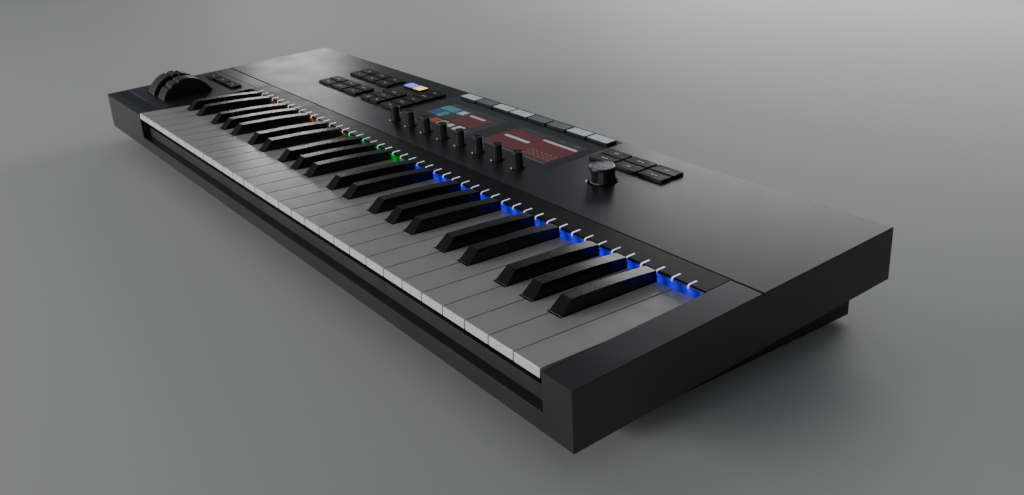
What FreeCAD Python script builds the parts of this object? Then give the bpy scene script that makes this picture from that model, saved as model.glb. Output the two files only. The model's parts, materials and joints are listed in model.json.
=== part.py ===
import FreeCAD, Part
import math
import os

# A 49-key controller keyboard, in millimetres.
#
# Two frames are used while modelling. The case frame lies on the sloping top face: X runs from the
# left end, Y from the front edge to the back, and Z is 0 on the top face. The key frame is level: it
# shares the case frame's origin (the left end of the front top edge), but its Z is vertical, because
# the keys lie level in a case that is tilted towards the player. place_case and place_level carry a
# shape from those frames to the part's own frame: origin at the bottom centre, +X to the right, +Y to
# the back and +Z up.

Vec = FreeCAD.Vector

# ---- driving dimensions: case ----
WIDTH = 828.0
DEPTH = 294.0
CASE_H = 39.5
TILT = 3.5
WALL = 2.5
PANEL_T = 2.5
EDGE_CHAMFER = 0.5
SEAM = 1.0
SEAM_Y = 155.6
BAY_LEFT = 119.6
BAY_RIGHT = 803.1
RAIL_TOP = -26.8
RAIL_SHELF = 8.0
BELLY_INSET = 20.0
BELLY_FRONT = 28.0
BELLY_RAKE = 6.0
BELLY_BACK = 280.4
BELLY_LEVEL = -53.6
FOOT_H = 4.0
FOOT_R = 9.0

# ---- driving dimensions: keys, in the level frame ----
WHITE_PITCH = 23.5
FIRST_KEY = 120.6
KEY_GAP = 1.0
WHITE_TOP = 1.5
WHITE_PLATE = 3.0
WHITE_END = 129.6
LIP_H = 6.2
LIP_T = 2.5
RIB_DEPTH = 7.5
BLACK_FRONT = 48.5
BLACK_RISE = 9.0
BLACK_SLOPE = 9.0
BLACK_END = 130.3
BLACK_END_RISE = 7.0
BLACK_W = 11.8
BLACK_TOP_W = 9.2
BLACK_CLEAR = 0.7
PIVOT_Y = 200.0
PIVOT_Z = -14.0
PIVOT_R = 2.0
HUB_R = 4.5
RUN_CLEAR = 0.05
TAIL_TOP = -3.0
TAIL_BOTTOM = -11.0
FRAME_BOTTOM = -27.0
FRAME_T = 1.5
FRAME_X = (BAY_LEFT + 1.4, BAY_RIGHT - 1.1)
BOSS_X = (140.0, 360.0, 560.0, 782.0)
BOSS_Y = (60.0, 190.0)
STOP_TOP = -21.5
FELT_T = 2.6
DOME_H = 7.2

# ---- driving dimensions: wheels ----
WHEEL_R = 32.7
WHEEL_W = 20.0
WHEEL_Y = 68.7
WHEEL_Z = -12.9
WHEEL_CENTRES = {"pitch_wheel": 41.5, "mod_wheel": 75.5}
WHEEL_AXLE_R = 2.5
GRIP_ANGLE = 28.0
CARRIAGE = (26.0, 91.0, 28.0, 110.0, -22.0, -PANEL_T)
TOUCH = (8.0, 112.0, 10.0, 22.0)
DECK_LINE_Y = 138.0

# ---- driving dimensions: panel controls ----
BUTTON_W = 26.5
BUTTON_D = 12.3
BUTTON_RISE = 2.2
BUTTON_GAP = 0.35
BUTTON_TRAVEL = 1.2
COLUMN_PITCH = 29.3
ROW_PITCH = 14.0
FRONT_ROW = 201.3
KNOB_X0 = 354.6
KNOB_PITCH = 28.1
KNOB_Y = 186.1
KNOB_R = 4.65
KNOB_H = 15.0
KNOB_HOLE = 5.4
KNOB_COUNTERSINK = 1.2
KNOB_SHAFT = 3.0
ENCODER_X = 623.5
ENCODER_Y = 215.0
ENCODER_R = 10.65
ENCODER_H = 13.3
ENCODER_HOLE = 12.2
ENCODER_SHAFT = 3.0
ENCODER_PIVOT_Z = -11.0
GLASS = (333.0, 571.0, 203.0, 290.0)
GLASS_T = 1.5
SCREENS = ((352.0, 446.0), (464.0, 560.0))
SCREEN_Y = (207.0, 262.0)
BOARD_Z = -9.1
BOARD_T = 1.6
GUIDE_FRONT = 131.0
GUIDE_T = 3.0
GUIDE_STEP = 1.5
GUIDE_ROUND = 1.6
APRON = (1.2, -8.8)
LIGHT_FIRST = 139.0
LIGHT_LAST = 789.6
LIGHT_COUNT = 49
LIGHT_W = 1.4

# ---- driving dimensions: rear connectors ----
REAR_WINDOW = (560.0, 780.0, -36.0, -6.0)
REAR_FACE = 293.0
REAR_PLATE_T = 2.0
SOCKET_Z = -21.5
USB_X = 590.0
MIDI_X = (630.0, 662.0)
JACK_X = (700.0, 734.0)
LOCK_X = 764.0
USB_OPENING = (8.6, 7.9)
USB_DEPTH = 12.0
JACK_BORE_R = 3.25
JACK_DEPTH = 20.0

# ---- where the frames sit in the part's own frame ----
SIN_T = math.sin(math.radians(TILT))
COS_T = math.cos(math.radians(TILT))
LIFT = FOOT_H - BELLY_LEVEL
MID_X = WIDTH / 2.0
MID_Y = (DEPTH * COS_T + CASE_H * SIN_T) / 2.0

WHITE_NAMES = ["c", "d", "e", "f", "g", "a", "b"]
WHITE_STEP = {"c": 0, "d": 1, "e": 2, "f": 3, "g": 4, "a": 5, "b": 6}
# A black key stands over the join after its white key, shifted so that the key tails come out even.
BLACK_STEP = {"c_sharp": 1, "d_sharp": 2, "f_sharp": 4, "g_sharp": 5, "a_sharp": 6}
BLACK_SHIFT = {"c_sharp": -2.35, "d_sharp": 2.35, "f_sharp": -3.4, "g_sharp": 0.0, "a_sharp": 3.4}
OCTAVES = 4


# ---- small helpers ----

def box(x0, x1, y0, y1, z0, z1):
    return Part.makeBox(x1 - x0, y1 - y0, z1 - z0, Vec(x0, y0, z0))


def rod_x(x0, x1, y, z, r):
    return Part.makeCylinder(r, x1 - x0, Vec(x0, y, z), Vec(1, 0, 0))


def rod_y(x, y0, y1, z, r):
    return Part.makeCylinder(r, y1 - y0, Vec(x, y0, z), Vec(0, 1, 0))


def rod_z(x, y, z0, z1, r):
    return Part.makeCylinder(r, z1 - z0, Vec(x, y, z0), Vec(0, 0, 1))


def cone_z(x, y, z0, z1, r0, r1):
    return Part.makeCone(r0, r1, z1 - z0, Vec(x, y, z0), Vec(0, 0, 1))


def side_profile(points, x0, x1):
    """Extrude a closed outline, given as (y, z) points, from x0 to x1."""
    corners = [Vec(x0, y, z) for y, z in points]
    outline = Part.makePolygon(corners + corners[:1])
    return Part.Face(outline).extrude(Vec(x1 - x0, 0, 0))


def fuse(shapes):
    joined = shapes[0].multiFuse(shapes[1:]) if len(shapes) > 1 else shapes[0]
    return joined.removeSplitter()


def upright_edges(shape):
    return [e for e in shape.Edges if abs(e.tangentAt(e.FirstParameter).z) > 0.99]


def top_edges(shape, z):
    return [e for e in shape.Edges if all(abs(v.Z - z) < 1e-6 for v in e.Vertexes)]


def rounded_block(x0, x1, y0, y1, z0, z1, radius, bevel):
    """A block with rounded upright corners and a bevelled top edge."""
    block = box(x0, x1, y0, y1, z0, z1)
    block = block.makeFillet(radius, upright_edges(block))
    return block.makeChamfer(bevel, top_edges(block, z1))


def chamfered_plate(x0, x1, y0, y1, corners):
    """A plate of the deck with its top edges broken, and its upright edges too at the case's corners."""
    plate = box(x0, x1, y0, y1, -PANEL_T, 0)
    outer = [e for e in upright_edges(plate) if (e.Vertexes[0].X, e.Vertexes[0].Y) in corners]
    return plate.makeChamfer(EDGE_CHAMFER, top_edges(plate, 0) + outer)


def place_case(shape):
    moved = shape.copy()
    moved.rotate(Vec(0, 0, 0), Vec(1, 0, 0), TILT)
    moved.translate(Vec(-MID_X, -MID_Y, LIFT))
    return moved


def place_level(shape):
    moved = shape.copy()
    moved.translate(Vec(-MID_X, -MID_Y, LIFT))
    return moved


def save(name, shapes, place):
    solids = [solid for shape in shapes for solid in shape.Solids]
    placed = [place(solid) for solid in solids]
    whole = placed[0] if len(placed) == 1 else Part.makeCompound(placed)
    whole.exportStep("parts/%s.step" % name)
    return whole


# ---- button layout, in the case frame: (x0, x1, y0) of each cap ----

def button_grid(x_start, columns, y_start, rows, pitch=COLUMN_PITCH, width=BUTTON_W):
    caps = []
    for row in range(rows):
        for column in range(columns):
            x0 = x_start + column * pitch
            caps.append((x0, x0 + width, y_start + row * ROW_PITCH))
    return caps


def button_groups():
    row_3 = FRONT_ROW + 3 * ROW_PITCH
    preset_x = 255.0
    half_w = 16.6
    preset = button_grid(preset_x, 2, FRONT_ROW, 1, half_w + 1.4, half_w)
    preset += button_grid(preset_x, 1, FRONT_ROW + ROW_PITCH, 2, width=34.6)
    preset += button_grid(preset_x, 2, FRONT_ROW + 4 * ROW_PITCH, 1, half_w + 1.4, half_w)
    return {
        "transport_buttons": button_grid(157.0, 3, row_3, 2),
        "edit_buttons": button_grid(157.0, 3, FRONT_ROW, 2),
        "preset_buttons": preset,
        "mode_buttons": button_grid(296.5, 1, FRONT_ROW, 5, width=28.0),
        "browse_buttons": button_grid(577.5, 3, row_3, 2, pitch=28.6),
        "soft_keys": button_grid(341.0, 8, 275.5, 1, pitch=28.3),
        "octave_buttons": button_grid(17.0, 3, 116.0, 1, pitch=29.0),
    }


def button_cap(x0, x1, y0):
    """A button cap with the flange that holds it under the panel and a stem over its switch."""
    flange_top = -PANEL_T - 0.3
    flange_over = 0.9
    mid_x = (x0 + x1) / 2.0
    mid_y = y0 + BUTTON_D / 2.0
    cap = rounded_block(x0, x1, y0, y0 + BUTTON_D, flange_top, BUTTON_RISE, 1.0, 0.45)
    flange = box(x0 - flange_over, x1 + flange_over, y0 - flange_over, y0 + BUTTON_D + flange_over,
                 flange_top - 1.0, flange_top)
    stem = rod_z(mid_x, mid_y, BOARD_Z + BOARD_T + BUTTON_TRAVEL + 0.2, flange_top - 1.0, 2.0)
    return fuse([cap, flange, stem])


def button_hole(x0, x1, y0):
    g = BUTTON_GAP
    hole = box(x0 - g, x1 + g, y0 - g, y0 + BUTTON_D + g, -PANEL_T - 1, 1)
    return hole.makeFillet(1.0 + g, upright_edges(hole))


# ---- case ----

def key_bay():
    """The space in the case that the keys fill, open at the front above the rail."""
    return box(BAY_LEFT, BAY_RIGHT, -1, SEAM_Y, RAIL_TOP, 1)


def screw_posts():
    """(x, y) of the posts that take the case screws."""
    front = [(x, 6.7) for x in (20.0, 100.0, 815.0)]
    back = [(x, 287.3) for x in (20.0, 220.0, 414.0, 500.0, 808.0)]
    return front + back


def upper_case():
    """The wall frame: sides, back, front rail, the cheek walls beside the keys and screw posts."""
    z_top = -PANEL_T
    outer = box(0, WIDTH, 0, DEPTH, -CASE_H, z_top)
    outer = outer.makeChamfer(EDGE_CHAMFER, upright_edges(outer))
    inside = box(WALL, WIDTH - WALL, WALL, DEPTH - WALL, -CASE_H - 1, 0)
    ring = outer.cut(inside).cut(key_bay())
    floor = -CASE_H + WALL
    left_wall = box(BAY_LEFT - WALL, BAY_LEFT, 0, SEAM_Y, floor, z_top)
    right_wall = box(BAY_RIGHT, BAY_RIGHT + WALL, 0, SEAM_Y, floor, z_top)
    shelf = box(BAY_LEFT, BAY_RIGHT, 0, RAIL_SHELF, RAIL_TOP - WALL, RAIL_TOP)
    pieces = [ring, left_wall, right_wall, shelf]
    post = 4.2
    for x, y in screw_posts():
        block = box(x - post, x + post, y - post, y + post, floor, floor + 14)
        pieces.append(block.cut(rod_z(x, y, floor, floor + 10, 1.5)))
    case = fuse(pieces)
    rail_edge = [e for e in top_edges(case, RAIL_TOP) if all(abs(v.Y) < 1e-6 for v in e.Vertexes)]
    case = case.makeChamfer(EDGE_CHAMFER, rail_edge)
    x0, x1, z0, z1 = REAR_WINDOW
    return case.cut(box(x0, x1, DEPTH - WALL - 1, DEPTH + 1, z0, z1))


def belly_outline(inset):
    """(y, z) outline of the belly in the case frame. Its floor is level when the case is tilted."""
    def floor_z(y):
        return (BELLY_LEVEL + inset - y * SIN_T) / COS_T
    front = BELLY_FRONT + inset
    back = BELLY_BACK - inset
    toe = front + BELLY_RAKE
    top = -CASE_H + WALL + (1 if inset else 0)
    return [(front, top), (toe, floor_z(toe)), (back, floor_z(back)), (back, top)]


def base_pan():
    """The bottom cover with its hollow belly, the bosses under the keybed and the screw recesses."""
    plate = box(WALL, WIDTH - WALL, WALL, DEPTH - WALL, -CASE_H, -CASE_H + WALL)
    belly = side_profile(belly_outline(0), BELLY_INSET, WIDTH - BELLY_INSET)
    hollow = side_profile(belly_outline(WALL), BELLY_INSET + WALL, WIDTH - BELLY_INSET - WALL)
    pan = fuse([plate, belly]).cut(hollow)
    bosses = []
    for x in BOSS_X:
        for y in BOSS_Y:
            boss = rod_z(x, y, BELLY_LEVEL + WALL - 0.5, FRAME_BOTTOM, 4.0)
            boss.rotate(Vec(0, 0, 0), Vec(1, 0, 0), -TILT)
            bosses.append(boss)
    pan = fuse([pan] + bosses)
    for x, y in screw_posts():
        pan = pan.cut(rod_z(x, y, -CASE_H - 1, -CASE_H + 1.6, 3.7))
        pan = pan.cut(rod_z(x, y, -CASE_H - 1, -CASE_H + WALL + 1, 1.7))
    return pan


def case_screws():
    screws = []
    for x, y in screw_posts():
        head = rod_z(x, y, -CASE_H + 0.2, -CASE_H + 1.6, 3.4)
        shank = rod_z(x, y, -CASE_H + 1.6, -CASE_H + 11, 1.45)
        slot = box(x - 2.2, x + 2.2, y - 0.4, y + 0.4, -CASE_H, -CASE_H + 0.9)
        screws.append(fuse([head, shank]).cut(slot))
    return screws


def rubber_feet():
    feet = []
    for x in (60.0, MID_X, WIDTH - 60.0):
        for y in (52.0, 262.0):
            foot = rod_z(x, y, BELLY_LEVEL - FOOT_H, BELLY_LEVEL, FOOT_R)
            foot = foot.makeChamfer(0.8, top_edges(foot, BELLY_LEVEL - FOOT_H))
            feet.append(foot)
    return feet


def top_panel():
    """The rear deck, with every opening that its controls and the display need."""
    x0, x1, y0, y1 = GLASS
    g = 0.15
    lip = 1.6
    deck = chamfered_plate(0, WIDTH, SEAM_Y + SEAM / 2, DEPTH, [(0, DEPTH), (WIDTH, DEPTH)])
    tools = [
        box(x0 - g, x1 + g, y0 - g, y1 + g, -GLASS_T - 0.1, 1),
        box(x0 + lip, x1 - lip, y0 + lip, y1 - lip, -PANEL_T - 1, 1),
        rod_z(ENCODER_X, ENCODER_Y, -PANEL_T - 1, 1, ENCODER_HOLE),
        cone_z(ENCODER_X, ENCODER_Y, -1.2, 0.0, ENCODER_HOLE, ENCODER_HOLE + 1.2),
    ]
    for x in knob_positions():
        tools.append(rod_z(x, KNOB_Y, -PANEL_T - 1, 1, KNOB_HOLE))
        tools.append(cone_z(x, KNOB_Y, -KNOB_COUNTERSINK, 0.0, KNOB_HOLE, KNOB_HOLE + KNOB_COUNTERSINK))
    for name, caps in button_groups().items():
        if name not in ("soft_keys", "octave_buttons"):
            tools += [button_hole(*cap) for cap in caps]
    return deck.cut(tools)


def left_panel():
    """The control deck left of the keys, slotted for the wheels, with the touch strip's recess."""
    deck = chamfered_plate(0, BAY_LEFT, 0, SEAM_Y - SEAM / 2, [(0, 0)])
    side = 0.8
    half_chord = 31.7
    tools = [
        box(TOUCH[0] - 0.15, TOUCH[1] + 0.15, TOUCH[2] - 0.15, TOUCH[3] + 0.15, -1.2, 1),
        box(-1, BAY_LEFT + 1, DECK_LINE_Y - 0.3, DECK_LINE_Y + 0.3, -0.5, 1),
    ]
    for centre in WHEEL_CENTRES.values():
        x0 = centre - WHEEL_W / 2 - side
        x1 = centre + WHEEL_W / 2 + side
        tools.append(box(x0, x1, WHEEL_Y - half_chord, WHEEL_Y + half_chord, -PANEL_T - 1, 1))
    tools += [button_hole(*cap) for cap in button_groups()["octave_buttons"]]
    return deck.cut(tools)


def right_cheek():
    return chamfered_plate(BAY_RIGHT, WIDTH, 0, SEAM_Y - SEAM / 2, [(WIDTH, 0)])


def key_slip():
    """The dark strip set back between the front rail and the key lips."""
    return box(BAY_LEFT + 0.2, BAY_RIGHT - 0.2, RAIL_SHELF, RAIL_SHELF + 2, -CASE_H + WALL, -16.5)


# ---- keybed ----

def keybed_frame():
    """The steel tray under the keys: a stop rail at the front and the pivot rod in two brackets."""
    x0, x1 = FRAME_X
    top = FRAME_BOTTOM + FRAME_T
    tray = box(x0, x1, 13, 215, FRAME_BOTTOM, top)
    stop_rail = box(x0, x1, 14, 24, top, STOP_TOP)
    rear_wall = box(x0, x1, 213.5, 215, top, -12)
    left_bracket = box(x0, x0 + 1.5, 190, 215, top, PIVOT_Z + 6)
    right_bracket = box(x1 - 1.5, x1, 190, 215, top, PIVOT_Z + 6)
    rod = rod_x(x0, x1, PIVOT_Y, PIVOT_Z, PIVOT_R)
    return fuse([tray, stop_rail, rear_wall, left_bracket, right_bracket, rod])


def key_felt():
    return box(FRAME_X[0] + 1, FRAME_X[1] - 1, 14.5, 23.5, STOP_TOP, STOP_TOP + FELT_T)


def contact_board():
    """The board under the keys with one rubber dome for each key."""
    top = FRAME_BOTTOM + FRAME_T
    board = box(FRAME_X[0] + 3, FRAME_X[1] - 3, 72, 118, top, top + BOARD_T)
    domes = []
    for x in all_key_centres():
        domes.append(cone_z(x, 95, top + BOARD_T, top + BOARD_T + DOME_H, 4.0, 2.6))
    return fuse([board] + domes)


def key_springs():
    """One leaf spring behind each key's hub."""
    top = FRAME_BOTTOM + FRAME_T
    leaves = []
    for x in all_key_centres():
        leaves.append(box(x - 3, x + 3, 206.5, 207.0, top, PIVOT_Z + 3))
    return leaves


def white_x(index):
    """Left end of the pitch cell of the white key at this index."""
    return FIRST_KEY + index * WHITE_PITCH


def black_centre(name, octave):
    return white_x(octave * 7 + BLACK_STEP[name]) + BLACK_SHIFT[name]


def black_centres():
    return [black_centre(name, octave) for octave in range(OCTAVES) for name in BLACK_STEP]


def white_tail(index):
    """(x0, x1) of the narrow part of a white key, between the black keys beside it."""
    x0 = white_x(index) + KEY_GAP / 2
    x1 = white_x(index + 1) - KEY_GAP / 2
    reach = BLACK_W / 2 + BLACK_CLEAR
    for centre in black_centres():
        if centre - reach < x0 < centre + reach:
            x0 = centre + reach
        if centre - reach < x1 < centre + reach:
            x1 = centre - reach
    return x0, x1


def all_key_centres():
    tails = [white_tail(index) for index in range(OCTAVES * 7 + 1)]
    return sorted([(x0 + x1) / 2 for x0, x1 in tails] + black_centres())


def key_tail(x0, x1, y_start, top):
    """The hidden lever of a key, from its visible end to the hub on the pivot rod."""
    lever = side_profile([(y_start, top), (PIVOT_Y, TAIL_TOP - 6), (PIVOT_Y, PIVOT_Z),
                          (y_start, TAIL_BOTTOM)], x0, x1)
    hub = rod_x(x0, x1, PIVOT_Y, PIVOT_Z, HUB_R)
    bore = rod_x(x0 - 1, x1 + 1, PIVOT_Y, PIVOT_Z, PIVOT_R + RUN_CLEAR)
    return lever, hub, bore


def white_key(index):
    """A key with an overhanging front lip, a stiffening rib and a lever back to the pivot."""
    x0 = white_x(index) + KEY_GAP / 2
    x1 = white_x(index + 1) - KEY_GAP / 2
    t0, t1 = white_tail(index)
    notch_y = BLACK_FRONT - 1.5
    under = WHITE_TOP - WHITE_PLATE
    front_gap = 0.3
    head = box(x0, x1, front_gap, notch_y, under, WHITE_TOP)
    lip = box(x0, x1, front_gap, front_gap + LIP_T, WHITE_TOP - LIP_H, WHITE_TOP)
    blade = box(t0, t1, notch_y, WHITE_END, under, WHITE_TOP)
    rib = box(t0 + 1.5, t1 - 1.5, 12, WHITE_END, under - RIB_DEPTH, under)
    lever, hub, bore = key_tail(t0 + 1.5, t1 - 1.5, WHITE_END - 8, TAIL_TOP)
    key = fuse([head, lip, blade, rib, lever, hub]).cut(bore)
    front_edges = [e for e in key.Edges
                   if all(abs(v.Y - front_gap) < 1e-6 and abs(v.Z - WHITE_TOP) < 1e-6
                          for v in e.Vertexes)]
    return key.makeFillet(0.8, front_edges)


def black_outline():
    """(y, z) outline of a black key: a raked front and a top that falls towards the back."""
    top = WHITE_TOP + BLACK_RISE
    crown_y = BLACK_FRONT + BLACK_SLOPE
    flat_end = 75.0
    fall = BLACK_RISE - BLACK_END_RISE
    outline = [(BLACK_FRONT, TAIL_BOTTOM), (BLACK_FRONT, WHITE_TOP), (crown_y, top), (flat_end, top)]
    steps = 5
    for i in range(1, steps + 1):
        s = i / steps
        outline.append((flat_end + s * (BLACK_END - flat_end), top - fall * s * s))
    outline.append((BLACK_END, TAIL_BOTTOM))
    return outline


def black_key(centre):
    """A black key: straight sides below the white tops, then a body that narrows to the top."""
    half = BLACK_W / 2
    half_top = BLACK_TOP_W / 2
    block = side_profile(black_outline(), centre - half, centre + half)
    for side in (-1, 1):
        foot = Vec(centre + side * half, 0, WHITE_TOP)
        crest = Vec(centre + side * half_top, 0, WHITE_TOP + BLACK_RISE)
        out_top = Vec(centre + side * (half + 5), 0, WHITE_TOP + BLACK_RISE + 2)
        out_low = Vec(centre + side * (half + 5), 0, WHITE_TOP)
        over = crest + (crest - foot) * (2.0 / BLACK_RISE)
        wedge = Part.Face(Part.makePolygon([foot, over, out_top, out_low, foot]))
        block = block.cut(wedge.extrude(Vec(0, BLACK_END + 10, 0)))
    lever, hub, bore = key_tail(centre - half + 1, centre + half - 1, BLACK_END - 8, TAIL_TOP)
    return fuse([block, lever, hub]).cut(bore)


def key_groups():
    """The keys by note name: all keys of one name share a node."""
    groups = {}
    for name in WHITE_NAMES:
        indices = [octave * 7 + WHITE_STEP[name] for octave in range(OCTAVES)]
        if name == "c":
            indices.append(OCTAVES * 7)
        groups["keys_" + name] = [white_key(index) for index in indices]
    for name in BLACK_STEP:
        groups["keys_" + name] = [black_key(black_centre(name, octave)) for octave in range(OCTAVES)]
    return groups


# ---- light guide behind the keys ----

def round_front(shape, y, z, radius):
    """Round the edge that runs along X at this y and z."""
    edges = [e for e in top_edges(shape, z) if all(abs(v.Y - y) < 1e-6 for v in e.Vertexes)]
    return shape.makeFillet(radius, edges)


def light_guide():
    """The strip behind the keys: a cap with a round front edge, and a skirt with an apron set back."""
    x0 = BAY_LEFT + 0.3
    x1 = BAY_RIGHT - 0.3
    back = SEAM_Y - SEAM / 2
    cap = round_front(box(x0, x1, GUIDE_FRONT, back, -GUIDE_T, 0), GUIDE_FRONT, 0, GUIDE_ROUND)
    low = GUIDE_FRONT + GUIDE_STEP
    skirt = box(x0, x1, low, back, -2 * GUIDE_T, -GUIDE_T)
    apron = box(x0, x1, low, low + APRON[0], APRON[1], -GUIDE_T)
    tools = []
    for hook, spot in light_solids():
        tools += [hook, spot]
    return fuse([cap, skirt, apron]).cut(tools)


def light_solids():
    """For each key: a hook over the front edge, and the spot below it on the skirt."""
    pitch = (LIGHT_LAST - LIGHT_FIRST) / (LIGHT_COUNT - 1)
    half = LIGHT_W / 2
    proud = 0.12
    front = GUIDE_FRONT - proud
    low = GUIDE_FRONT + GUIDE_STEP
    pairs = []
    for i in range(LIGHT_COUNT):
        x = LIGHT_FIRST + i * pitch
        hook = box(x - half, x + half, front, GUIDE_FRONT + 8.0, -GUIDE_T + 0.2, proud)
        hook = round_front(hook, front, proud, GUIDE_ROUND + proud)
        hook = hook.cut(box(x - half - 1, x + half + 1, GUIDE_FRONT + 2.4, GUIDE_FRONT + 9.0, -GUIDE_T, -0.8))
        spot = box(x - half, x + half, low - proud, low + 0.8, -2 * GUIDE_T + 0.2, -GUIDE_T - 0.6)
        pairs.append((hook, spot))
    return pairs


def light_pipes():
    return [shape for pair in light_solids() for shape in pair]


def led_board():
    return box(BAY_LEFT + 1, BAY_RIGHT - 1, GUIDE_FRONT + 3, SEAM_Y - 2, -2 * GUIDE_T - 1.3, -2 * GUIDE_T)


# ---- display ----

def display_window():
    x0, x1, y0, y1 = GLASS
    glass = rounded_block(x0, x1, y0, y1, -GLASS_T, 0.0, 0.8, 0.2)
    return glass.cut([button_hole(*cap) for cap in button_groups()["soft_keys"]])


def display_modules():
    return [box(x0, x1, SCREEN_Y[0], SCREEN_Y[1], -6.0, -GLASS_T - 0.1) for x0, x1 in SCREENS]


# ---- boards ----

def control_boards():
    """The board under the rear deck, and a small one under the buttons beside the wheels."""
    rear = box(150, 672, 170, 288, BOARD_Z, BOARD_Z + BOARD_T)
    rear = rear.cut(rod_z(ENCODER_X, ENCODER_Y, BOARD_Z - 1, BOARD_Z + BOARD_T + 1, 19))
    left = box(12, 108, 112.5, 134, BOARD_Z, BOARD_Z + BOARD_T)
    return [rear, left]


def main_board():
    return box(300, 700, 224, 272, BELLY_LEVEL + WALL + 3, BELLY_LEVEL + WALL + 3 + BOARD_T)


# ---- wheels ----

def wheel(centre, grip_angle):
    """A thumb wheel with dished sides, a hub bored for the axle and a grip ridge on its tread."""
    x0 = centre - WHEEL_W / 2
    x1 = centre + WHEEL_W / 2
    disc = rod_x(x0, x1, WHEEL_Y, WHEEL_Z, WHEEL_R)
    rims = [e for e in disc.Edges if e.Curve.TypeId == "Part::GeomCircle"]
    disc = disc.makeFillet(1.6, rims)
    dish = 1.0
    tools = [
        rod_x(x0 - 1, x0 + dish, WHEEL_Y, WHEEL_Z, WHEEL_R - 4),
        rod_x(x1 - dish, x1 + 1, WHEEL_Y, WHEEL_Z, WHEEL_R - 4),
        rod_x(x0 - 1, x1 + 1, WHEEL_Y, WHEEL_Z, WHEEL_AXLE_R + RUN_CLEAR),
    ]
    angle = math.radians(90 + grip_angle)
    reach = WHEEL_R + 1.2
    for offset in (-9.0, 9.0):
        a = angle + math.radians(offset)
        tools.append(rod_x(x0 - 1, x1 + 1, WHEEL_Y + math.cos(a) * reach, WHEEL_Z + math.sin(a) * reach, 3.0))
    return disc.cut(tools)


def wheel_carriage():
    """The cradle under the left deck, with a cell for each wheel and the axle that carries both."""
    x0, x1, y0, y1, z0, z1 = CARRIAGE
    mid = sum(WHEEL_CENTRES.values()) / 2
    cells = [
        box(x0 + 2, mid - 1, y0 + 5.5, y1 - 6, z0 - 1, z1 + 1),
        box(mid + 1, x1 - 2, y0 + 5.5, y1 - 6, z0 - 1, z1 + 1),
    ]
    cradle = box(x0, x1, y0, y1, z0, z1).cut(cells)
    return fuse([cradle, rod_x(x0, x1, WHEEL_Y, WHEEL_Z, WHEEL_AXLE_R)])


def touch_strip():
    x0, x1, y0, y1 = TOUCH
    return rounded_block(x0, x1, y0, y1, -1.2, 0.15, 0.6, 0.1)


# ---- knobs ----

def knob_positions():
    return [KNOB_X0 + i * KNOB_PITCH for i in range(8)]


def knob(x):
    """A slim endless knob with a waist of shallow flutes and a shaft into its rotary switch."""
    bottom = -1.0
    body = rod_z(x, KNOB_Y, bottom, KNOB_H, KNOB_R)
    body = body.makeFillet(0.6, [e for e in top_edges(body, KNOB_H)])
    flutes = []
    count = 16
    for i in range(count):
        a = 2 * math.pi * i / count
        reach = KNOB_R + 0.25
        flutes.append(rod_z(x + reach * math.cos(a), KNOB_Y + reach * math.sin(a), bottom - 1, KNOB_H - 1.5, 0.5))
    shaft = rod_z(x, KNOB_Y, -5.6, bottom, KNOB_SHAFT)
    return fuse([body.cut(flutes), shaft])


def knob_switches():
    """The rotary switch under each knob, soldered to the control board."""
    switches = []
    half = 5.5
    top = -PANEL_T - 0.2
    for x in knob_positions():
        body = box(x - half, x + half, KNOB_Y - half, KNOB_Y + half, BOARD_Z + BOARD_T, top)
        switches.append(body.cut(rod_z(x, KNOB_Y, -5.8, top + 1, KNOB_SHAFT + RUN_CLEAR)))
    return switches


# ---- four-way push encoder ----

def encoder_knob():
    bottom = -1.8
    body = rod_z(ENCODER_X, ENCODER_Y, bottom, ENCODER_H, ENCODER_R)
    body = body.makeChamfer(0.8, top_edges(body, ENCODER_H))
    flutes = []
    count = 36
    for i in range(count):
        a = 2 * math.pi * i / count
        reach = ENCODER_R + 0.2
        x = ENCODER_X + reach * math.cos(a)
        y = ENCODER_Y + reach * math.sin(a)
        flutes.append(rod_z(x, y, bottom - 1, ENCODER_H - 2.0, 0.45))
    bore = rod_z(ENCODER_X, ENCODER_Y, bottom - 1, 8.0, ENCODER_SHAFT + RUN_CLEAR)
    return body.cut(flutes + [bore])


def encoder_shaft():
    return rod_z(ENCODER_X, ENCODER_Y, -12.6, 7.8, ENCODER_SHAFT)


def encoder_slider():
    """The inner block of the gimbal: it rocks on a left-right tilt and guides the shaft."""
    block = rod_z(ENCODER_X, ENCODER_Y, -15.6, -7.0, 7.0)
    pin = rod_y(ENCODER_X, ENCODER_Y - 9.3, ENCODER_Y + 9.3, ENCODER_PIVOT_Z, 1.2)
    bore = rod_z(ENCODER_X, ENCODER_Y, -13.9, -6.0, ENCODER_SHAFT + RUN_CLEAR)
    return fuse([block, pin]).cut(bore)


def encoder_gimbal():
    """The outer ring of the gimbal: it rocks on a front-back tilt."""
    ring = rod_z(ENCODER_X, ENCODER_Y, ENCODER_PIVOT_Z - 2.2, ENCODER_PIVOT_Z + 2.2, 12.0)
    hole = rod_z(ENCODER_X, ENCODER_Y, ENCODER_PIVOT_Z - 3, ENCODER_PIVOT_Z + 3, 8.0)
    bore = rod_y(ENCODER_X, ENCODER_Y - 10.0, ENCODER_Y + 10.0, ENCODER_PIVOT_Z, 1.2 + RUN_CLEAR)
    pin = rod_x(ENCODER_X - 15.3, ENCODER_X + 15.3, ENCODER_Y, ENCODER_PIVOT_Z, 1.2)
    return fuse([ring, pin]).cut([hole, bore])


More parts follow.
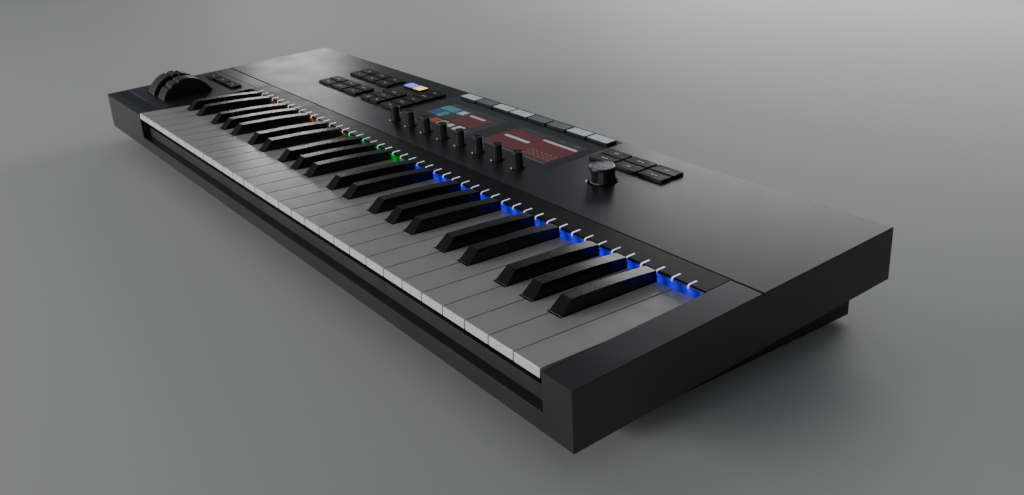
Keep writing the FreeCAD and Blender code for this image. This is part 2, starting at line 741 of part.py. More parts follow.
def encoder_housing():
    """The cup that hangs under the deck and carries the gimbal's pins."""
    cup = rod_z(ENCODER_X, ENCODER_Y, -18.0, -PANEL_T, 17.5)
    hollow = rod_z(ENCODER_X, ENCODER_Y, -16.8, -PANEL_T + 1, 14.0)
    bore = rod_x(ENCODER_X - 15.8, ENCODER_X + 15.8, ENCODER_Y, ENCODER_PIVOT_Z, 1.2 + RUN_CLEAR)
    return cup.cut([hollow, bore])


# ---- rear connectors, on a plate in the back wall ----

def rear_panel():
    x0, x1, z0, z1 = REAR_WINDOW
    g = 0.15
    back = REAR_FACE
    plate = box(x0 + g, x1 - g, back - REAR_PLATE_T, back, z0 + g, z1 - g)
    flange = box(x0 - 5, x1 + 5, back - REAR_PLATE_T - 1.0, DEPTH - WALL, z0 - 0.5, z1 + 3.3)
    inner = back - REAR_PLATE_T - 2
    tools = [box(USB_X - 6.2, USB_X + 6.2, inner, back + 1, SOCKET_Z - 5.8, SOCKET_Z + 5.8)]
    tools += [rod_y(x, inner, back + 1, SOCKET_Z, 9.3) for x in MIDI_X]
    tools += [rod_y(x, inner, back + 1, SOCKET_Z, 5.1) for x in JACK_X]
    tools.append(box(LOCK_X - 3.5, LOCK_X + 3.5, inner, back + 1, SOCKET_Z - 1.5, SOCKET_Z + 1.5))
    return fuse([plate, flange]).cut(tools)


def usb_socket():
    back = REAR_FACE + 0.3
    shell = box(USB_X - 6.0, USB_X + 6.0, back - 17, back, SOCKET_Z - 5.6, SOCKET_Z + 5.6)
    w, h = USB_OPENING
    mouth = box(USB_X - w / 2, USB_X + w / 2, back - USB_DEPTH, back + 1, SOCKET_Z - h / 2, SOCKET_Z + h / 2)
    tongue = box(USB_X - 2.8, USB_X + 2.8, back - USB_DEPTH - 1, back - 6.5, SOCKET_Z - 1.5, SOCKET_Z + 1.5)
    return fuse([shell.cut(mouth), tongue])


def midi_sockets():
    """Two five-pin round sockets. In each, a cup and a core leave a slot for the plug's skirt."""
    back = REAR_FACE + 0.3
    slot_deep = 9.0
    cups = []
    cores = []
    for x in MIDI_X:
        cup = rod_y(x, back - 16, back, SOCKET_Z, 9.1)
        cups.append(cup.cut(rod_y(x, back - slot_deep, back + 1, SOCKET_Z, 7.8)))
        core = rod_y(x, back - slot_deep, back, SOCKET_Z, 6.6)
        holes = []
        for degrees in (0, 45, 90, 135, 180):
            a = math.radians(degrees)
            holes.append(rod_y(x + 4.6 * math.cos(a), back - 8, back + 1, SOCKET_Z + 4.6 * math.sin(a), 0.8))
        cores.append(core.cut(holes))
    return cups + cores


def pedal_jacks():
    jacks = []
    for x in JACK_X:
        nose = rod_y(x, REAR_FACE - REAR_PLATE_T - 2, REAR_FACE + 0.8, SOCKET_Z, 4.9)
        body = box(x - 8, x + 8, REAR_FACE - 26, REAR_FACE - REAR_PLATE_T - 1.2, SOCKET_Z - 7, SOCKET_Z + 7)
        bore = rod_y(x, REAR_FACE + 0.8 - JACK_DEPTH, REAR_FACE + 2, SOCKET_Z, JACK_BORE_R)
        jacks.append(fuse([nose, body]).cut(bore))
    return jacks


# ---- build ----

def main():
    os.makedirs("parts", exist_ok=True)
    case_parts = {
        "upper_case": [upper_case()],
        "base_pan": [base_pan()],
        "case_screws": case_screws(),
        "top_panel": [top_panel()],
        "left_panel": [left_panel()],
        "right_cheek": [right_cheek()],
        "key_slip": [key_slip()],
        "light_guide": [light_guide()],
        "light_pipes": light_pipes(),
        "led_board": [led_board()],
        "display_window": [display_window()],
        "display_modules": display_modules(),
        "control_boards": control_boards(),
        "wheel_carriage": [wheel_carriage()],
        "touch_strip": [touch_strip()],
        "knob_switches": knob_switches(),
        "encoder_knob": [encoder_knob()],
        "encoder_shaft": [encoder_shaft()],
        "encoder_slider": [encoder_slider()],
        "encoder_gimbal": [encoder_gimbal()],
        "encoder_housing": [encoder_housing()],
        "rear_panel": [rear_panel()],
        "usb_socket": [usb_socket()],
        "midi_sockets": midi_sockets(),
        "pedal_jacks": pedal_jacks(),
    }
    level_parts = {
        "rubber_feet": rubber_feet(),
        "keybed_frame": [keybed_frame()],
        "key_felt": [key_felt()],
        "contact_board": [contact_board()],
        "key_springs": key_springs(),
        "main_board": [main_board()],
    }
    grips = {"pitch_wheel": 0.0, "mod_wheel": GRIP_ANGLE}
    for name, centre in WHEEL_CENTRES.items():
        case_parts[name] = [wheel(centre, grips[name])]
    for i, x in enumerate(knob_positions()):
        case_parts["knob_%d" % (i + 1)] = [knob(x)]
    for name, caps in button_groups().items():
        case_parts[name] = [button_cap(*cap) for cap in caps]
    level_parts.update(key_groups())

    for name, shapes in case_parts.items():
        save(name, shapes, place_case)
    for name, shapes in level_parts.items():
        save(name, shapes, place_level)
    print("%d nodes" % (len(case_parts) + len(level_parts)))


if __name__ == "__main__":
    main()
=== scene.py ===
import json
import math

import bpy
from mathutils import Matrix, Vector


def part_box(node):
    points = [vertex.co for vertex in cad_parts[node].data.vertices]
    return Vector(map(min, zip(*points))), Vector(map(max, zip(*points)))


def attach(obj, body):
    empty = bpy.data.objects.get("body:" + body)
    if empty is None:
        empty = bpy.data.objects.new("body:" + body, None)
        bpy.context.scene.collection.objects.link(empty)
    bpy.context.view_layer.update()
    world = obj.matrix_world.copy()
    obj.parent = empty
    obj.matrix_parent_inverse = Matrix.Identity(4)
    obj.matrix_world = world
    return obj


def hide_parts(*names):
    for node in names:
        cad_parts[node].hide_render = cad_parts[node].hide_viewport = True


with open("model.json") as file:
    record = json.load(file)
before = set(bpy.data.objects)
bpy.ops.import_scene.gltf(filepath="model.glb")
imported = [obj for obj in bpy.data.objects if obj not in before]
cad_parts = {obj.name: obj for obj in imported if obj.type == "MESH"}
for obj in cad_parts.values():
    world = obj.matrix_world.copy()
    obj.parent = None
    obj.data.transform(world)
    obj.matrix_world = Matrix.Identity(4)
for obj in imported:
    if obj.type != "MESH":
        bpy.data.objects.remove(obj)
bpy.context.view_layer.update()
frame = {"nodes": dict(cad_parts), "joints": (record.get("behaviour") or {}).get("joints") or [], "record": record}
print("frame loaded with", len(frame["nodes"]), "nodes")

# Pieces are modelled in millimetres, as the case lies flat, and are then set into place in metres.
# x runs from the left end, y from the front top edge to the back, z up from the top face.
joints = {joint["name"]: joint for joint in frame["joints"]}
metre = 0.001
deck = {"knobX": 354.6, "knobY": 186.1, "bayLeft": 119.6, "bayRight": 803.1}

caseUp = Vector(joints["knob_1_turn"]["axis"])  # the case slopes, so this leans towards the player
caseBack = Vector((0, caseUp.z, -caseUp.y))
corner = Vector(joints["knob_1_turn"]["pos_m"])
corner = corner - Vector((deck["knobX"] * metre, 0, 0)) - caseBack * deck["knobY"] * metre
casePlace = Matrix((
    (metre, 0, 0, corner.x),
    (0, caseBack.y * metre, caseUp.y * metre, corner.y),
    (0, caseBack.z * metre, caseUp.z * metre, corner.z),
    (0, 0, 0, 1),
))
levelPlace = Matrix.Translation(corner) @ Matrix.Scale(metre, 4)  # the keys lie level


def clearSelection():
    if bpy.context.mode != "OBJECT":
        bpy.ops.object.mode_set(mode="OBJECT")
    bpy.ops.object.select_all(action="DESELECT")


def pick(*pieces):
    clearSelection()
    for piece in pieces:
        piece.select_set(True)
    bpy.context.view_layer.objects.active = pieces[0]
    return pieces[0]


def startEdit(piece, kind):
    pick(piece)
    bpy.ops.object.mode_set(mode="EDIT")
    bpy.ops.mesh.select_mode(type=kind)
    bpy.ops.mesh.select_all(action="DESELECT")
    bpy.ops.object.mode_set(mode="OBJECT")


def chooseFaces(piece, test):
    startEdit(piece, "FACE")
    for face in piece.data.polygons:
        face.select = test(face.center, face.normal)
    bpy.ops.object.mode_set(mode="EDIT")


def chooseEdges(piece, test):
    startEdit(piece, "EDGE")
    points = piece.data.vertices
    for edge in piece.data.edges:
        edge.select = test(points[edge.vertices[0]].co, points[edge.vertices[1]].co)
    bpy.ops.object.mode_set(mode="EDIT")


def endEdit():
    bpy.ops.object.mode_set(mode="OBJECT")


def useModifier(piece, kind, **settings):
    modifier = piece.modifiers.new(kind.lower(), kind)
    for key, value in settings.items():
        setattr(modifier, key, value)
    pick(piece)
    bpy.ops.object.modifier_apply(modifier=modifier.name)
    return piece


def softenEdges(piece, width, steps=2, angle=35):
    return useModifier(piece, "BEVEL", width=width, segments=steps, limit_method="ANGLE",
                       angle_limit=math.radians(angle), use_clamp_overlap=True)


def carve(piece, tool):
    useModifier(piece, "BOOLEAN", operation="DIFFERENCE", object=tool, solver="EXACT")
    bpy.data.objects.remove(tool)
    return piece


def block(name, low, high):
    clearSelection()
    middle = [(a + b) / 2 for a, b in zip(low, high)]
    bpy.ops.mesh.primitive_cube_add(size=1, location=middle)
    piece = bpy.context.object
    piece.name = name
    piece.scale = [b - a for a, b in zip(low, high)]
    bpy.ops.object.transform_apply(location=True, rotation=True, scale=True)
    return piece


def roundedBlock(name, low, high, turn, brim, steps=4):
    piece = block(name, low, high)
    chooseEdges(piece, lambda a, b: abs(a.z - b.z) > 1e-4)
    bpy.ops.mesh.bevel(offset=turn, segments=steps)
    endEdit()
    if brim:
        chooseEdges(piece, lambda a, b: min(a.z, b.z) > high[2] - 1e-4)
        bpy.ops.mesh.bevel(offset=brim, segments=3)
        endEdit()
    return piece


def rod(name, middle, radius, length, along="Z", sides=48):
    clearSelection()
    turn = {"X": (0, math.pi / 2, 0), "Y": (math.pi / 2, 0, 0), "Z": (0, 0, 0)}[along]
    bpy.ops.mesh.primitive_cylinder_add(vertices=sides, radius=radius, depth=length, location=middle, rotation=turn)
    piece = bpy.context.object
    piece.name = name
    bpy.ops.object.transform_apply(location=True, rotation=True, scale=True)
    return piece


def joined(name, pieces):
    pick(*pieces)
    if len(pieces) > 1:
        bpy.ops.object.join()
    piece = bpy.context.object
    piece.name = name
    return piece


def moved(piece, offset):
    # a copy of a finished piece with a mesh of its own
    twin = piece.copy()
    twin.data = piece.data.copy()
    bpy.context.scene.collection.objects.link(twin)
    twin.data.transform(Matrix.Translation(offset))
    twin.name = piece.name
    return twin


def nodeCopy(node, name, place):
    # a CAD node's mesh, merged and with its flat faces made whole again
    piece = bpy.data.objects.new(name, frame["nodes"][node].data.copy())
    bpy.context.scene.collection.objects.link(piece)
    piece.data.transform(place.inverted())
    piece.data.materials.clear()
    pick(piece)
    bpy.ops.mesh.customdata_custom_splitnormals_clear()
    bpy.ops.object.mode_set(mode="EDIT")
    bpy.ops.mesh.select_all(action="SELECT")
    bpy.ops.mesh.remove_doubles(threshold=0.002)
    bpy.ops.mesh.dissolve_limited(angle_limit=math.radians(0.6))
    bpy.ops.object.mode_set(mode="OBJECT")
    return piece


def paint(piece, *materials):
    piece.data.materials.clear()
    for material in materials:
        piece.data.materials.append(material)
    return piece


def paintFaces(piece, index, test):
    for face in piece.data.polygons:
        if test(face.center, face.normal):
            face.material_index = index
    return piece


def settle(piece, place, body, replaced=(), smooth=30):
    piece.data.transform(place)
    pick(piece)
    bpy.ops.object.shade_smooth_by_angle(angle=math.radians(smooth))
    useModifier(piece, "WEIGHTED_NORMAL", weight=50, keep_sharp=True)  # keeps broad faces flat beside their bevels
    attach(piece, body)
    if replaced:
        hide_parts(*replaced)
    return piece


def hexColor(code):
    # sRGB hex to the linear colour that a shader takes
    parts = [int(code[i:i + 2], 16) / 255 for i in (1, 3, 5)]
    return [p / 12.92 if p <= 0.04045 else ((p + 0.055) / 1.055) ** 2.4 for p in parts] + [1.0]


def addNode(tree, kind, inputs=None, **settings):
    node = tree.nodes.new("ShaderNode" + kind)
    for key, value in settings.items():
        setattr(node, key, value)
    for key, value in (inputs or {}).items():
        if isinstance(value, bpy.types.NodeSocket):
            tree.links.new(value, node.inputs[key])
        else:
            node.inputs[key].default_value = value
    return node


def newMaterial(name, color, roughness, **sockets):
    material = bpy.data.materials.new(name)
    material.use_nodes = True
    tree = material.node_tree
    shader = tree.nodes["Principled BSDF"]
    shader.inputs["Base Color"].default_value = hexColor(color)
    shader.inputs["Roughness"].default_value = roughness
    for key, value in sockets.items():
        shader.inputs[key.replace("_", " ")].default_value = value
    return material, tree, shader


def perMetre(size):
    return 1000.0 / size  # how many patterns of this size in millimetres fit in a metre


def addGrain(tree, shader, size, height, strength=0.5, detail=2.0):
    # a bump of grains of this size and height in millimetres
    spot = addNode(tree, "TexCoord")
    noise = addNode(tree, "TexNoise", {"Vector": spot.outputs["Object"], "Scale": perMetre(size), "Detail": detail})
    bump = addNode(tree, "Bump", {"Height": noise.outputs["Fac"], "Strength": strength, "Distance": height * metre})
    tree.links.new(bump.outputs["Normal"], shader.inputs["Normal"])
    return noise


def addWear(tree, shader, size, smoothest, roughest):
    # handling and uneven finish: broad patches from smoother to rougher
    spot = addNode(tree, "TexCoord")
    noise = addNode(tree, "TexNoise", {"Vector": spot.outputs["Object"], "Scale": perMetre(size), "Detail": 6.0})
    span = addNode(tree, "MapRange", {"Value": noise.outputs["Fac"], "From Min": 0.3, "From Max": 0.7,
                                      "To Min": smoothest, "To Max": roughest})
    tree.links.new(span.outputs["Result"], shader.inputs["Roughness"])


def addTint(tree, shader, size, dark, light):
    # slight colour variation between two hex colours
    spot = addNode(tree, "TexCoord")
    noise = addNode(tree, "TexNoise", {"Vector": spot.outputs["Object"], "Scale": perMetre(size), "Detail": 4.0})
    mix = addNode(tree, "Mix", data_type="RGBA")
    tree.links.new(noise.outputs["Fac"], mix.inputs[0])
    mix.inputs[6].default_value = hexColor(dark)
    mix.inputs[7].default_value = hexColor(light)
    tree.links.new(mix.outputs[2], shader.inputs["Base Color"])


# Blasted and anodised aluminium: a satin grey with a fine even sparkle, a little polished by hands.
def anodisedAluminium():
    material, tree, shader = newMaterial("anodised_aluminium", "#555557", 0.33, Metallic=0.9)
    addTint(tree, shader, 60, "#525254", "#5a5a5c")
    addWear(tree, shader, 35, 0.3, 0.36)
    addGrain(tree, shader, 0.7, 0.012, 0.2)  # blasted grain is 0.1 mm; drawn coarser so that it shows
    return material


# Moulded black ABS: dark, dull, with the fine spark-eroded texture of the mould.
def mouldedAbs():
    material, tree, shader = newMaterial("moulded_black_abs", "#1c1c1e", 0.55, IOR=1.53)
    addWear(tree, shader, 25, 0.48, 0.62)
    addGrain(tree, shader, 0.8, 0.08, 0.4)
    return material


# White key ABS: injection moulded and polished, with a slight orange peel under a clear gloss.
def whiteKeyAbs():
    material, tree, shader = newMaterial("white_key_abs", "#cdccc8", 0.2, IOR=1.53)
    addTint(tree, shader, 30, "#c9c8c4", "#d0cfcb")
    addWear(tree, shader, 12, 0.16, 0.26)
    addGrain(tree, shader, 3.0, 0.02, 0.15)
    return material


# Black key ABS: deep black with a satin, spark-eroded skin that hands have smoothed.
def blackKeyAbs():
    material, tree, shader = newMaterial("black_key_abs", "#131314", 0.26, IOR=1.53)
    addWear(tree, shader, 10, 0.22, 0.32)
    addGrain(tree, shader, 0.6, 0.02, 0.2)
    return material


# Silicone rubber buttons: almost black, soft sheen, a faint powdery skin.
def siliconeRubber():
    material, tree, shader = newMaterial("silicone_rubber", "#161617", 0.5, IOR=1.43)
    addWear(tree, shader, 9, 0.42, 0.6)
    addGrain(tree, shader, 0.5, 0.05, 0.35)
    return material


# The same silicone, clear and milky, lit by a diode underneath.
def litSilicone(name, color, strength):
    material, tree, shader = newMaterial(name, color, 0.45, IOR=1.43)
    spot = addNode(tree, "TexCoord")
    noise = addNode(tree, "TexNoise", {"Vector": spot.outputs["Object"], "Scale": perMetre(9), "Detail": 1.0})
    span = addNode(tree, "MapRange", {"Value": noise.outputs["Fac"], "From Min": 0.3, "From Max": 0.7,
                                      "To Min": strength * 0.75, "To Max": strength * 1.1})
    tree.links.new(span.outputs["Result"], shader.inputs["Emission Strength"])
    shader.inputs["Emission Color"].default_value = hexColor(color)
    addGrain(tree, shader, 0.5, 0.04, 0.3)
    return material


# Soft-touch lacquer over a moulded knob: dark grey with a dim sheen.
def softTouchLacquer():
    material, tree, shader = newMaterial("soft_touch_lacquer", "#2d2d2f", 0.34, IOR=1.5)
    addWear(tree, shader, 5, 0.28, 0.4)
    addGrain(tree, shader, 0.4, 0.03, 0.3)
    return material


# Turned aluminium: rings about the knob's axis left by the lathe tool.
def turnedAluminium(centre):
    ringScale = perMetre(0.5) / 20  # a wave turns 20 radians for each unit of scale, so rings lie about 3 mm apart
    material, tree, shader = newMaterial("turned_aluminium", "#9a9a9c", 0.3, Metallic=1.0)
    spot = addNode(tree, "TexCoord")
    place = addNode(tree, "Mapping", {"Vector": spot.outputs["Object"], "Location": [-c for c in centre]})
    rings = addNode(tree, "TexWave", {"Vector": place.outputs["Vector"], "Scale": ringScale, "Distortion": 0.4},
                    wave_type="RINGS", rings_direction="Z")
    bump = addNode(tree, "Bump", {"Height": rings.outputs["Fac"], "Strength": 0.1, "Distance": 0.02 * metre})
    tree.links.new(bump.outputs["Normal"], shader.inputs["Normal"])
    addWear(tree, shader, 3, 0.24, 0.36)
    return material


# Dark anodised aluminium of the knob's side.
def darkAluminium():
    material, tree, shader = newMaterial("dark_anodised_aluminium", "#4a4a4d", 0.36, Metallic=0.9)
    addWear(tree, shader, 4, 0.3, 0.44)
    addGrain(tree, shader, 0.4, 0.02, 0.3)
    return material


# Wheel rubber: a dull side, and a tread that thumbs have made smoother and that is painted lighter, a painted sheen for
# the light falling on it.
def wheelRubber():
    material, tree, shader = newMaterial("wheel_rubber", "#1b1b1c", 0.5, IOR=1.52)
    addWear(tree, shader, 8, 0.42, 0.6)
    addGrain(tree, shader, 0.5, 0.05, 0.4)
    return material


# the tread: the same rubber painted lighter than the sides, a painted sheen
def treadRubberPaintedSheen():
    material, tree, shader = newMaterial("wheel_tread_painted_sheen", "#39393b", 0.38, IOR=1.52)
    addTint(tree, shader, 6, "#343436", "#404042")
    addWear(tree, shader, 5, 0.3, 0.46)
    addGrain(tree, shader, 0.6, 0.05, 0.3)
    return material


def blendedHues(tree, stops):
    # colour along the keys, from the left end of the bay at 0 to its right end at 1
    spot = addNode(tree, "TexCoord")
    parts = addNode(tree, "SeparateXYZ", {"Vector": spot.outputs["Object"]})
    low = corner.x + deck["bayLeft"] * metre
    high = corner.x + deck["bayRight"] * metre
    along = addNode(tree, "MapRange", {"Value": parts.outputs["X"], "From Min": low, "From Max": high})
    ramp = addNode(tree, "ValToRGB", {"Fac": along.outputs["Result"]})
    points = ramp.color_ramp.elements
    while len(points) < len(stops):
        points.new(0.5)
    for point, (where, color) in zip(points, stops):
        point.position = where
        point.color = hexColor(color)
    return parts, ramp


lights = {"count": 49, "first": 139.0, "last": 789.6}
hues = [(0.0, "#b0202c"), (0.04, "#c8545a"), (0.055, "#ffc08c"), (0.2, "#ffdcae"), (0.262, "#ffb070"),
        (0.3, "#ffe0b8"), (0.33, "#ffe4c4"),
        (0.34, "#3fcf72"), (0.495, "#30c860"), (0.505, "#5048ff"), (1.0, "#4a44ff")]
# colours of the painted glow on the light guide, along the keys
paintedGlowHues = [(0.0, "#7a1420"), (0.04, "#8c2018"), (0.08, "#5a3818"), (0.2, "#4a3418"), (0.262, "#a04c14"),
            (0.3, "#4a3418"), (0.33, "#4a3a20"),
            (0.34, "#0c8030"), (0.495, "#0a9a38"), (0.505, "#2a18ff"), (1.0, "#2412ff")]


def heightOverDeck(tree):
    # metres above the top face of the case; negative below it
    spot = addNode(tree, "TexCoord")
    away = addNode(tree, "VectorMath", {0: spot.outputs["Object"], 1: corner}, operation="SUBTRACT")
    return addNode(tree, "VectorMath", {0: away.outputs[0], 1: caseUp}, operation="DOT_PRODUCT").outputs["Value"]


# Frosted acrylic light pipes: almost white where they lie on top, deeper in colour and dimmer lower down.
def lightPipeAcrylic():
    material, tree, shader = newMaterial("frosted_acrylic", "#8f8f92", 0.35, IOR=1.49)
    ramp = blendedHues(tree, hues)[1]
    rise = addNode(tree, "MapRange", {"Value": heightOverDeck(tree), "From Min": -5.0 * metre,
                                      "From Max": -0.2 * metre})
    paleness = addNode(tree, "Math", {0: rise.outputs["Result"], 1: 0.6}, operation="MULTIPLY")
    pale = addNode(tree, "Mix", data_type="RGBA")
    tree.links.new(paleness.outputs[0], pale.inputs[0])
    tree.links.new(ramp.outputs["Color"], pale.inputs[6])
    pale.inputs[7].default_value = hexColor("#f4f4ff")
    tree.links.new(pale.outputs[2], shader.inputs["Emission Color"])
    spot = addNode(tree, "TexCoord")
    noise = addNode(tree, "TexNoise", {"Vector": spot.outputs["Object"], "Scale": perMetre(14), "Detail": 1.0})
    uneven = addNode(tree, "MapRange", {"Value": noise.outputs["Fac"], "From Min": 0.3, "From Max": 0.7,
                                        "To Min": 0.75, "To Max": 1.2})
    power = addNode(tree, "MapRange", {"Value": rise.outputs["Result"], "To Min": 0.12, "To Max": 1.1})
    strength = addNode(tree, "Math", {0: uneven.outputs["Result"], 1: power.outputs["Result"]}, operation="MULTIPLY")
    tree.links.new(strength.outputs[0], shader.inputs["Emission Strength"])
    return material


# Black acrylic, dulled by a fine haze, with a painted glow: emission on its front face around each pipe stands in for
# the light of the diodes spreading inside it.
def polishedAcrylic():
    material, tree, shader = newMaterial("black_acrylic_painted_glow", "#08080a", 0.35, IOR=1.49, Specular_IOR_Level=0.2)
    addWear(tree, shader, 20, 0.3, 0.4)
    parts, ramp = blendedHues(tree, paintedGlowHues)
    # painted glow: emission brightest beside each pipe and fading between them, only on the face below the top of the
    # case
    step = (lights["last"] - lights["first"]) / (lights["count"] - 1) * metre
    first = corner.x + lights["first"] * metre
    shifted = addNode(tree, "Math", {0: parts.outputs["X"], 1: first - step / 2}, operation="SUBTRACT")
    cell = addNode(tree, "Math", {0: shifted.outputs[0], 1: step}, operation="MODULO")
    offset = addNode(tree, "Math", {0: cell.outputs[0], 1: step / 2}, operation="SUBTRACT")
    away = addNode(tree, "Math", {0: offset.outputs[0]}, operation="ABSOLUTE")
    across = addNode(tree, "MapRange", {"Value": away.outputs[0], "From Min": 0.0, "From Max": 6.8 * metre,
                                        "To Min": 1.0, "To Max": 0.3}, interpolation_type="SMOOTHSTEP")
    below = addNode(tree, "MapRange", {"Value": heightOverDeck(tree), "From Min": -2.2 * metre,
                                       "From Max": -0.5 * metre, "To Min": 1.0, "To Max": 0.0},
                    interpolation_type="SMOOTHSTEP")
    glow = addNode(tree, "Math", {0: across.outputs["Result"], 1: below.outputs["Result"]}, operation="MULTIPLY")
    power = addNode(tree, "Math", {0: glow.outputs[0], 1: 0.9}, operation="MULTIPLY")
    tree.links.new(ramp.outputs["Color"], shader.inputs["Emission Color"])
    tree.links.new(power.outputs[0], shader.inputs["Emission Strength"])
    return material


# Hardened cover glass: clear, almost smooth, with the faint ripple of an anti-glare etch.
def coverGlass():
    material, tree, shader = newMaterial("cover_glass", "#c9c9cc", 0.06, IOR=1.5, Transmission_Weight=1.0)
    addGrain(tree, shader, 1.2, 0.01, 0.1)
    return material


# Dark ink printed on the back of the glass.
def printedInk():
    material, tree, shader = newMaterial("black_ink", "#343437", 0.4, IOR=1.5)
    addGrain(tree, shader, 0.8, 0.01, 0.2)
    return material


# White ink of the marks on the buttons, dimly lit from below.
def markInk():
    material, tree, shader = newMaterial("white_mark_ink", "#d9d9dc", 0.5, IOR=1.5)
    shader.inputs["Emission Color"].default_value = hexColor("#d9d9dc")
    shader.inputs["Emission Strength"].default_value = 0.25
    addWear(tree, shader, 1.5, 0.4, 0.6)
    return material


# One colour on a liquid crystal panel, with its rows of dots.
def screenColor(name, color, strength):
    material, tree, shader = newMaterial("lcd_" + name, color, 0.4, IOR=1.5)
    spot = addNode(tree, "TexCoord")
    rows = addNode(tree, "TexWave", {"Vector": spot.outputs["Object"], "Scale": perMetre(0.6) / 20},
                   bands_direction="X")  # dots are 0.2 mm apart; drawn coarser so that they show
    span = addNode(tree, "MapRange", {"Value": rows.outputs["Fac"], "To Min": strength * 0.8, "To Max": strength})
    tree.links.new(span.outputs["Result"], shader.inputs["Emission Strength"])
    shader.inputs["Emission Color"].default_value = hexColor(color)
    return material


# Zinc-plated steel: cool grey with fine drawn lines.
def zincSteel():
    material, tree, shader = newMaterial("zinc_plated_steel", "#a9abae", 0.34, Metallic=1.0)
    spot = addNode(tree, "TexCoord")
    place = addNode(tree, "Mapping", {"Vector": spot.outputs["Object"], "Scale": (0.05, 1, 1)})
    noise = addNode(tree, "TexNoise", {"Vector": place.outputs["Vector"], "Scale": perMetre(0.5), "Detail": 3.0})
    bump = addNode(tree, "Bump", {"Height": noise.outputs["Fac"], "Strength": 0.2, "Distance": 0.02 * metre})
    tree.links.new(bump.outputs["Normal"], shader.inputs["Normal"])
    addWear(tree, shader, 15, 0.28, 0.42)
    return material


# Nickel plate on the brass of the sockets.
def nickelPlate():
    material, tree, shader = newMaterial("nickel_plate", "#b9b6ae", 0.22, Metallic=1.0)
    addWear(tree, shader, 3, 0.18, 0.32)
    addGrain(tree, shader, 0.6, 0.01, 0.2)
    return material


# Glass-fibre board under green solder mask, with the copper tracks raised beneath it.
def solderMask():
    material, tree, shader = newMaterial("solder_mask_board", "#0d4423", 0.35, IOR=1.5)
    spot = addNode(tree, "TexCoord")
    tracks = addNode(tree, "TexBrick", {"Vector": spot.outputs["Object"], "Scale": perMetre(8), "Mortar Size": 0.06,
                                        "Color1": hexColor("#0d4423"), "Color2": hexColor("#0f4c28"),
                                        "Mortar": hexColor("#1c6b3a")})
    tree.links.new(tracks.outputs["Color"], shader.inputs["Base Color"])
    bump = addNode(tree, "Bump", {"Height": tracks.outputs["Fac"], "Strength": 0.4, "Distance": 0.03 * metre})
    tree.links.new(bump.outputs["Normal"], shader.inputs["Normal"])
    return material


# Pressed wool felt: dull red, fibrous, with a slight sheen.
def woolFelt():
    material, tree, shader = newMaterial("wool_felt", "#6b1d1f", 0.95, Sheen_Weight=0.4)
    addTint(tree, shader, 2, "#5d1719", "#7a2427")
    addGrain(tree, shader, 0.6, 0.3, 0.8, 5.0)
    return material


# Foot rubber: matte black with a slight moulding skin.
def footRubber():
    material, tree, shader = newMaterial("foot_rubber", "#121212", 0.75, IOR=1.52)
    addGrain(tree, shader, 0.7, 0.08, 0.5)
    addWear(tree, shader, 6, 0.66, 0.84)
    return material


# Acetal: waxy off-white bearing plastic.
def acetal():
    material, tree, shader = newMaterial("acetal", "#d8d5cc", 0.4, IOR=1.48, Subsurface_Weight=0.1)
    addWear(tree, shader, 6, 0.34, 0.48)
    addGrain(tree, shader, 1.0, 0.02, 0.2)
    return material


aluminium = anodisedAluminium()
plastic = mouldedAbs()
whiteAbs = whiteKeyAbs()
blackAbs = blackKeyAbs()
silicone = siliconeRubber()
lacquer = softTouchLacquer()
sideMetal = darkAluminium()
rubberSide = wheelRubber()
treadPaintedSheen = treadRubberPaintedSheen()
pipeAcrylic = lightPipeAcrylic()
guidePaintedGlow = polishedAcrylic()
glass = coverGlass()
ink = printedInk()
mark = markInk()
steel = zincSteel()
nickel = nickelPlate()
board = solderMask()
felt = woolFelt()
footStuff = footRubber()
bearing = acetal()
softLit = litSilicone("lit_silicone_bright", "#b4bac0", 0.5)
softDim = litSilicone("lit_silicone_dim", "#72767a", 0.26)
violetLit = litSilicone("lit_silicone_violet", "#6a68ff", 1.6)
amberLit = litSilicone("lit_silicone_amber", "#ffc98a", 1.5)
print("materials made")

# CAD nodes that keep their own shape get a material here.
finishes = {
    aluminium: ["upper_case", "top_panel", "left_panel", "right_cheek"],
    plastic: ["base_pan", "key_slip", "wheel_carriage", "encoder_housing", "rear_panel", "knob_switches",
              "midi_sockets"],
    steel: ["case_screws", "keybed_frame", "key_springs", "encoder_shaft", "usb_socket"],
    nickel: ["pedal_jacks"],
    guidePaintedGlow: ["light_guide"],
    pipeAcrylic: ["light_pipes"],
    board: ["led_board", "control_boards", "contact_board", "main_board"],
    ink: ["display_modules"],
    glass: ["display_window"],
    rubberSide: ["touch_strip"],
    felt: ["key_felt"],
    footStuff: ["rubber_feet"],
    bearing: ["encoder_gimbal", "encoder_slider"],
}
for material, nodes in finishes.items():
    for node in nodes:
        for place in frame["nodes"][node].material_slots:
            place.material = material
print("CAD nodes painted")


# Keys: the CAD shapes with their arrises rounded, because a sharp edge catches no light.
keyEdges = {"white": 0.35, "black": 0.55}
noteNames = ["c", "d", "e", "f", "g", "a", "b", "c_sharp", "d_sharp", "f_sharp", "g_sharp", "a_sharp"]


def makeKeys(note):
    node = "keys_" + note
    sharp = note.endswith("sharp")
    piece = nodeCopy(node, "key_tops_" + note, levelPlace)
    softenEdges(piece, keyEdges["black" if sharp else "white"], 3 if sharp else 2, 30)
    paint(piece, blackAbs if sharp else whiteAbs)
    settle(piece, levelPlace, node, [node])


for note in noteNames:
    makeKeys(note)
print("keys made")


# Wheels: rubber discs with a grip ridge between two scoops, turning about the joint's axis.
wheelShape = {"radius": 32.69, "width": 20.0, "rim": 1.4, "scoop": 3.0, "spread": 9.0, "reach": 1.2, "hub": 9.0,
              "hubSlope": 0.5, "hubSink": 0.6}


